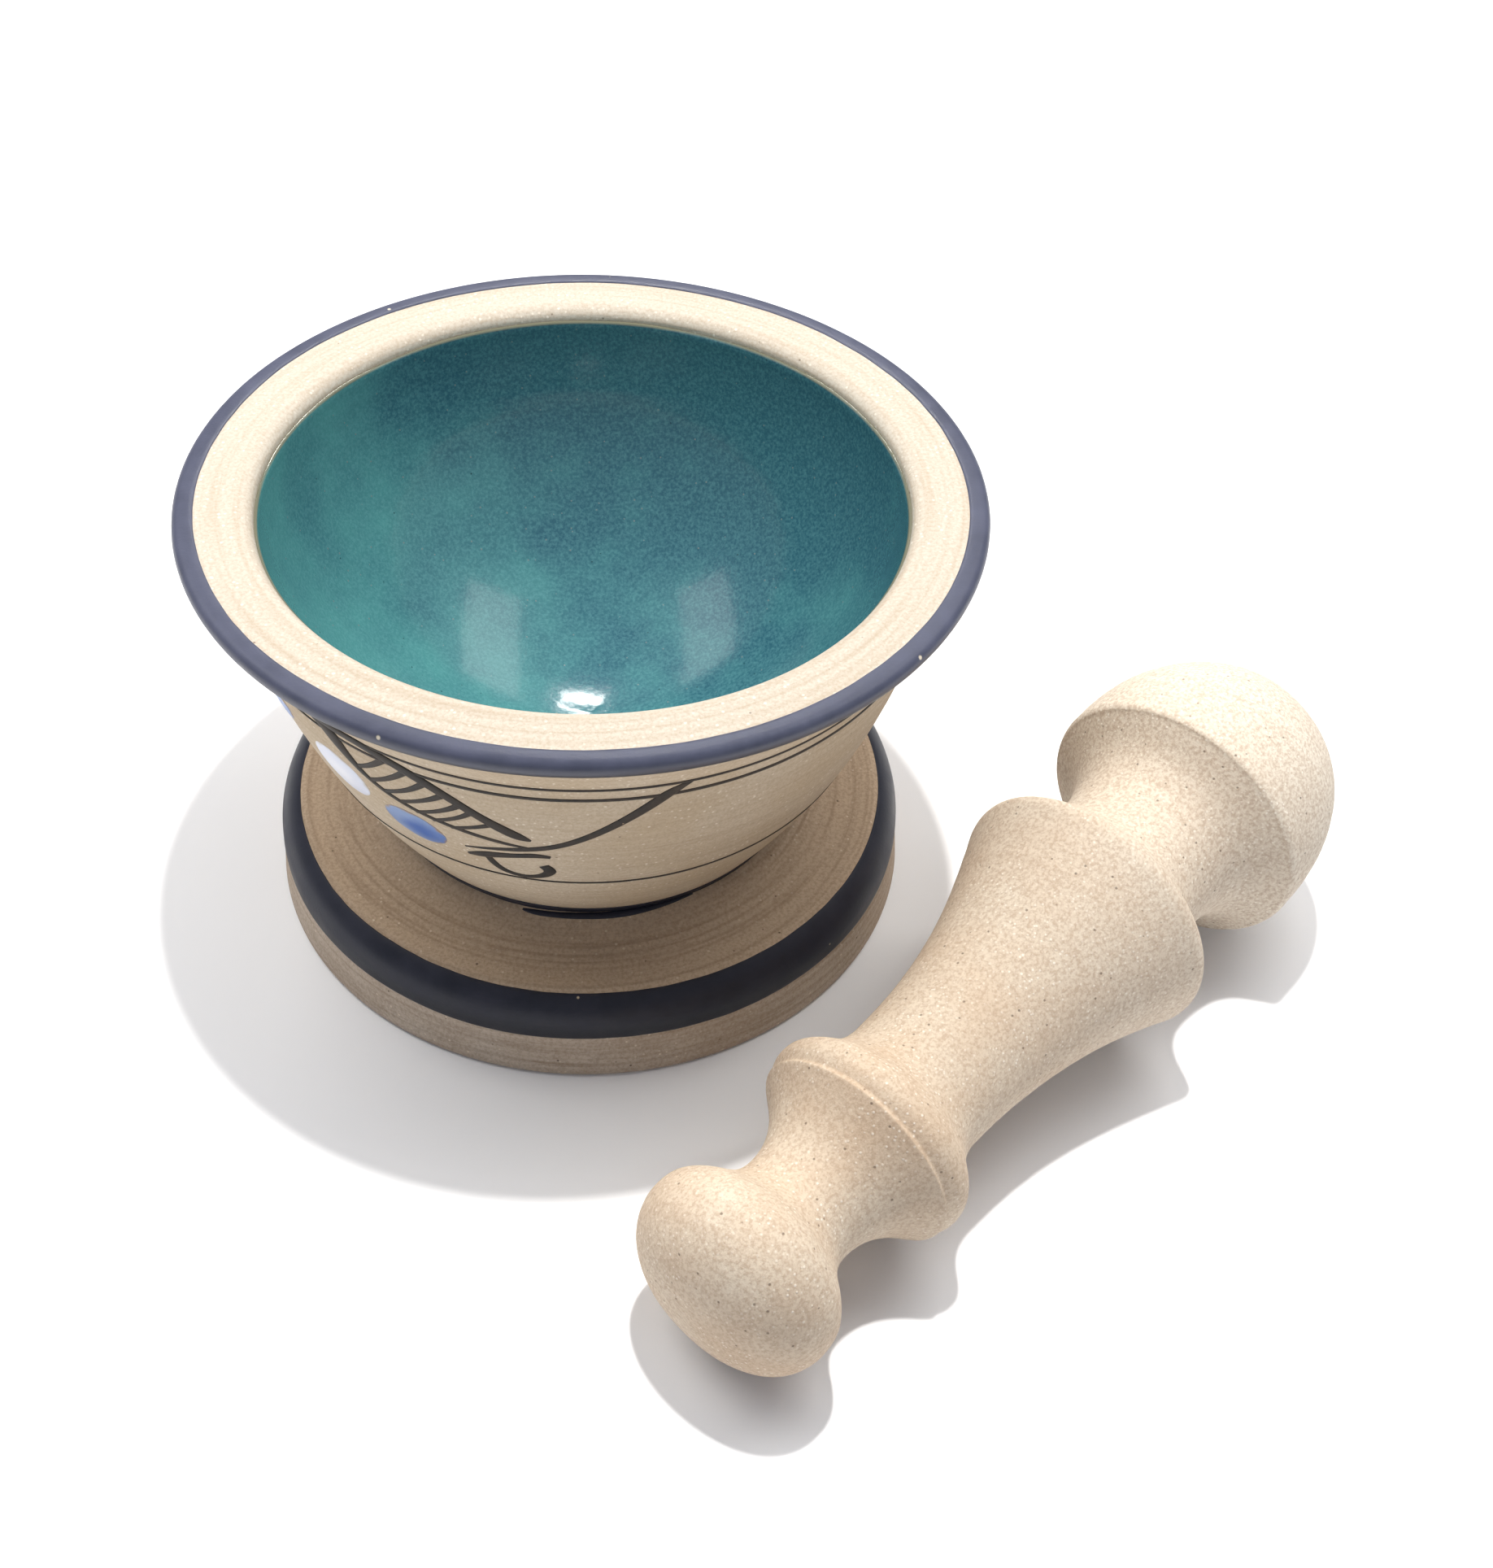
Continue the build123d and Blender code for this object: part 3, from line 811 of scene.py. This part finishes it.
paint = {
    "look": {
        "body": "#2b2825", "thin": "#453c35", "clay": "#b09a7c",
        "gatheredAndShaded": "#2b2825", "gatherShadeFrom": 40.0, "gatherShadeTo": 20.0,
        "patchWidth": 2.5, "grainWidth": 0.3, "grainRelief": 0.02,
        "chipSpacing": 1.6, "chipSize": 0.3, "chipShare": 0.15, "chipDepth": 0.03,
        "roughness": 0.6, "specular": 0.3,
    },
    "ringThickness": 0.1,
    # each ring: height, width and wander in mm
    "rings": {"upper_line": (54.0, 0.62, 0.12), "second_line": (51.6, 0.62, 0.12),
              "lower_line": (30.0, 0.5, 0.16)},
    # strokes: degrees round, height and width in mm, from where the brush was put down
    "leafTop": [(-136.5, 54.7, 0.8), (-133.0, 53.9, 2.0), (-127.5, 54.0, 2.2), (-123, 52.9, 2.0),
                (-118, 51.3, 1.8), (-113, 49.0, 1.7), (-108, 45.8, 1.6), (-104, 43.4, 2.0),
                (-101.6, 42.2, 1.7), (-100.2, 41.7, 0.5)],
    "leafBottom": [(-136, 54.6, 1.4), (-133.4, 52.8, 3.0), (-131.5, 49.3, 2.0), (-129, 46.2, 1.2),
                   (-125.5, 44.0, 1.0), (-119, 42.2, 0.9), (-111, 41.0, 0.9), (-104, 40.0, 0.8),
                   (-101, 39.7, 0.5)],
    "rungs": [  # lower end, middle, upper end
        ((-130.2, 46.9, 0.8), (-126.4, 48.4, 0.7), (-122.4, 52.0, 1.0)),
        ((-127.7, 45.3, 0.8), (-122.7, 47.7, 0.7), (-118.8, 51.3, 1.0)),
        ((-125.6, 44.0, 0.8), (-119.9, 46.4, 0.7), (-116.1, 50.0, 1.0)),
        ((-122.8, 43.1, 0.7), (-117.2, 45.6, 0.7), (-113.4, 48.5, 1.0)),
        ((-120.0, 42.1, 0.7), (-114.8, 44.2, 0.7), (-111.0, 47.2, 1.0)),
        ((-117.1, 41.5, 0.7), (-112.1, 43.6, 0.7), (-109.2, 46.2, 0.9)),
        ((-113.9, 41.1, 0.7), (-109.6, 42.5, 0.7), (-106.4, 44.2, 0.9)),
    ],
    "swag": [(-112.7, 36.7, 0.4), (-106, 38.3, 0.8), (-101, 39.3, 1.1), (-95.6, 40.9, 1.1),
             (-90.4, 43.6, 1.2), (-85.3, 46.9, 1.4), (-80.8, 50.2, 1.6), (-77.6, 52.7, 1.6),
             (-75.6, 53.8, 0.6)],
    "bar": [(-112.8, 34.7, 0.6), (-110.5, 35.4, 1.6), (-107.5, 36.3, 1.5), (-103.4, 37.1, 1.1),
            (-99.6, 38.0, 1.3), (-97.4, 37.7, 0.8)],
    "hook": [(-109.2, 36.2, 0.9), (-108.6, 34.0, 1.3), (-107, 31.7, 1.2), (-103.7, 30.7, 1.0),
             (-100.6, 31.2, 1.1), (-98.2, 32.6, 1.5), (-97.9, 34.0, 1.9), (-98.9, 35.0, 1.6)],
    "mirrorAt": -152.0,  # the leaf and swag come again, the other way round, past this angle
}


def mirrored(stroke):
    return [(2 * paint["mirrorAt"] - degrees, height, width) for degrees, height, width in stroke]


def makeBrushwork():
    # three rings, and the leaf, swag and tendril on both sides of where they mirror
    oxide = brushedColour("black_oxide_brushwork", paint["look"])
    for node, (height, width, wander) in paint["rings"].items():
        middle = alongAt(wallOutline, height)
        ring = roundBand(wallOutline, middle - width / 2, middle + width / 2,
                         paint["ringThickness"], wander, sides=12, square=2)
        finishPiece(node + "_brushed", ring, oxide, "mortar", [node])
    groups = {"leaf_outline": [paint["leafTop"], paint["leafBottom"]], "leaf_rungs": paint["rungs"],
              "swag_stroke": [paint["swag"]], "tendril": [paint["bar"], paint["hook"]]}
    for name, drawn in groups.items():
        for end, shape in (("", drawn), ("_far", [mirrored(stroke) for stroke in drawn])):
            brushStrokes(name + end, shape, oxide, wallOutline, alongAt)


dabs = {
    # degrees round, height, length along the wall and across it in mm, and how far it is turned
    "white": {"spots": [(-136.2, 42.2, 9.2, 8.6, -35), (-167.8, 42.2, 9.2, 8.6, 35)],
              "look": {"deep": "#f2f3fa", "thin": "#dfe2f0", "edge": "#cbc6c2", "lean": 0.0}},
    "cobalt": {"spots": [(-122.3, 37.5, 9.0, 7.4, -14), (-181.7, 37.5, 9.0, 7.4, 14),
                         (-152.0, 46.5, 7.4, 5.8, 0)],
               "look": {"deep": "#3a66b0", "thin": "#7f98c4", "edge": "#9a7f66", "lean": -0.5}},
    "thickness": 0.22,
}


def makeDabs():
    # each dab is a ball pressed flat, turned and laid on the wall
    for colour in ("white", "cobalt"):
        material = dabbedGlaze(colour + "_glaze_dab", dabs[colour]["look"])
        for number, (degrees, height, length, width, lean) in enumerate(dabs[colour]["spots"], 1):
            bm = bmesh.new()
            bmesh.ops.create_uvsphere(bm, u_segments=56, v_segments=24, radius=1)
            layer = bm.loops.layers.uv.new("UVMap")
            for face in bm.faces:
                for loop in face.loops:
                    loop[layer].uv = (0.5 + loop.vert.co.x / 2, 0.5 + loop.vert.co.y / 2)
            bmesh.ops.scale(bm, verts=bm.verts, vec=(length / 2, width / 2, dabs["thickness"]))
            bmesh.ops.rotate(bm, verts=bm.verts, cent=(0, 0, 0),
                             matrix=Matrix.Rotation(math.radians(lean), 3, "Z"))
            middle = flatPlace(degrees, alongAt(wallOutline, height))
            bmesh.ops.translate(bm, verts=bm.verts, vec=middle)
            wrapOn(wallOutline, bm, strokes["roundRadius"])
            finishPiece(f"{colour}_dab_{number}", bm, material, "mortar")


pestle = {
    "heading": 45.0, "length": 124.3,  # degrees round, and mm from the tip of the head
    "headRadius": 13.45, "headDome": 8.6, "headFullness": 0.63,
    "neckRadius": 7.7, "neckAt": 18.6,
    "ridgeRadius": 13.75, "ridgeAt": 29.0, "ridgeRun": 1.9, "ridgeRound": 0.2,
    "grooveDepth": 0.32, "grooveWidth": 0.75,
    "beadRadius": 14.4, "beadAt": 31.6,
    "gripRadius": 9.9, "gripAt": 41.0,
    "collarRadius": 18.1, "collarAt": 76.2,
    "throatRadius": 11.5, "throatAt": 86.6,
    "knobRadius": 18.85, "knobEdgeAt": 97.9, "knobEdgeLength": 1.3, "knobEdgeRound": 0.7,
    "knobCap": 22.3,
    # how far the outline runs straight on past each of those places before it turns away
    "headEase": 5.2, "neckEaseIn": 5.0, "neckEaseOut": 5.6, "beadEase": 3.4, "gripEaseIn": 6.0,
    "gripEaseOut": 15.0, "throatEaseIn": 7.6, "throatEaseOut": 8.0,
    # slopes, each as a change of radius and of station
    "collarFlare": (3.9, 9.0), "collarRoll": (1.2, 3.6), "knobFlare": (3.7, 2.2),
    "sway": 0.22, "swaySize": 1.1, "swayLength": 18,  # mm off round, its lobes, and its pace
    "rippleShare": 0.15, "ripplePitch": 1.6, "steadyRadius": 6,
    "clay": {
        "body": "#d7c9b5", "warm": "#cdb8a0", "shadowTone": "#b0967f",
        # painted highlight: paler and less saturated towards the knob, where the pestle is most
        # brightly lit
        "paintedLightTone": "#e2d8c8", "paintedLightFrom": 45.0, "paintedLightTo": 112.0,
        "paleGrog": "#fffaf0", "darkGrog": "#5a483c",
        "ringWidth": 1.4, "cloudWidth": 16.0, "sandWidth": 0.5,
        "paleSpacing": 0.7, "paleSize": 0.42, "paleShare": 0.8, "paleTint": 0.45,
        "darkSpacing": 1.8, "darkSize": 0.44, "darkShare": 0.75, "darkTint": 0.6,
        "ringTint": 0.15, "sandTint": 0.6,
        "sandRelief": 0.09, "ringRelief": 0.03, "grogRelief": 0.06,
    },
}


def past(point, ease, way=1):
    # a point further along the pestle, at the same radius
    return point[0], point[1] + way * pestle[ease]


def sloped(point, slope, way=1):
    # a point further along one of the slopes
    return point[0] + way * pestle[slope][0], point[1] + way * pestle[slope][1]


def pestleOutline():
    # X is the radius and Y the way up from the tip of the grinding head
    p = pestle
    head = (p["headRadius"], p["headDome"])
    neck = (p["neckRadius"], p["neckAt"])
    ridge = (p["ridgeRadius"], p["ridgeAt"])
    groove = (ridge[0] - 0.05, ridge[1] + p["grooveWidth"])
    bead = (p["beadRadius"], p["beadAt"])
    grip = (p["gripRadius"], p["gripAt"])
    collar = (p["collarRadius"], p["collarAt"])
    throat = (p["throatRadius"], p["throatAt"])
    under = (p["knobRadius"] - p["knobEdgeRound"], p["knobEdgeAt"])
    side = (p["knobRadius"], p["knobEdgeAt"] + p["knobEdgeLength"])
    edge = (p["knobRadius"], p["length"] - p["knobCap"])
    return (
        rounded((0, 0), (p["headRadius"], 0), head, 40, fullness=p["headFullness"])
        + curve(head, past(head, "headEase"), past(neck, "neckEaseIn", -1), neck, 26)
        + curve(neck, past(neck, "neckEaseOut"),
                (ridge[0] - p["ridgeRun"], ridge[1] - p["ridgeRun"]), ridge, 28)
        + curve(ridge, (ridge[0] + p["ridgeRound"], ridge[1] + p["ridgeRound"]),
                (groove[0] - p["grooveDepth"], groove[1] - 0.3), groove, 5)
        + curve(groove, (groove[0] + 0.35, groove[1] + 0.5), (bead[0], bead[1] - 0.8), bead, 8)
        + curve(bead, past(bead, "beadEase"), past(grip, "gripEaseIn", -1), grip, 26)
        + curve(grip, past(grip, "gripEaseOut"), sloped(collar, "collarFlare", -1), collar, 60)
        + curve(collar, sloped(collar, "collarRoll"), past(throat, "throatEaseIn", -1), throat, 26)
        + curve(throat, past(throat, "throatEaseOut"), sloped(under, "knobFlare", -1), under, 28)
        + rounded(under, (p["knobRadius"], under[1]), side, 8)
        + straight(side, edge, 4)
        + rounded(edge, (p["knobRadius"], p["length"]), (0, p["length"]), 48)
        + [(0, p["length"])]
    )


def makePestle():
    # it lies on its head and its collar, so it leans by the difference of their radii
    lean = math.asin((pestle["collarRadius"] - pestle["headRadius"])
                     / (pestle["collarAt"] - pestle["headDome"]))
    turn = Euler((0, math.pi / 2 - lean, math.radians(pestle["heading"])))
    lobe, pitch = pestle["swaySize"], pestle["ripplePitch"]
    bm = turned(pestleOutline(), 176)
    for v in bm.verts:
        x, y, z = v.co / mm
        r = math.hypot(x, y)
        if r > 1e-6:
            off = noise.noise(Vector((lobe * x / r, lobe * y / r, z / pestle["swayLength"])))
            ripple = pestle["rippleShare"] * noise.noise(Vector((r / pitch, z / pitch, 0.3 * x / r)))
            steady = min(r / pestle["steadyRadius"], 1)
            grown = 1 + pestle["sway"] * (off + ripple) * steady / r
            v.co.x, v.co.y = v.co.x * grown, v.co.y * grown
    bmesh.ops.rotate(bm, verts=bm.verts, cent=(0, 0, 0), matrix=turn.to_matrix())
    low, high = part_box("pestle")
    corner = [min(v.co[i] for v in bm.verts) for i in range(3)]
    far = [max(v.co[i] for v in bm.verts) for i in range(3)]
    shift = Vector([(low[i] + high[i] - corner[i] - far[i]) / 2 for i in range(3)])
    shift.z = low.z - corner[2]  # it rests on the floor
    bmesh.ops.translate(bm, verts=bm.verts, vec=shift)
    clay = turnedStoneware("buff_stoneware_pestle", pestle["clay"], tuple(shift), tuple(turn))
    finishPiece("pestle_clay_body", bm, clay, "pestle", ["pestle"])


makeBowl()
makeFoot()
makeGlaze()
makeBands()
makeBrushwork()
makeDabs()
makePestle()
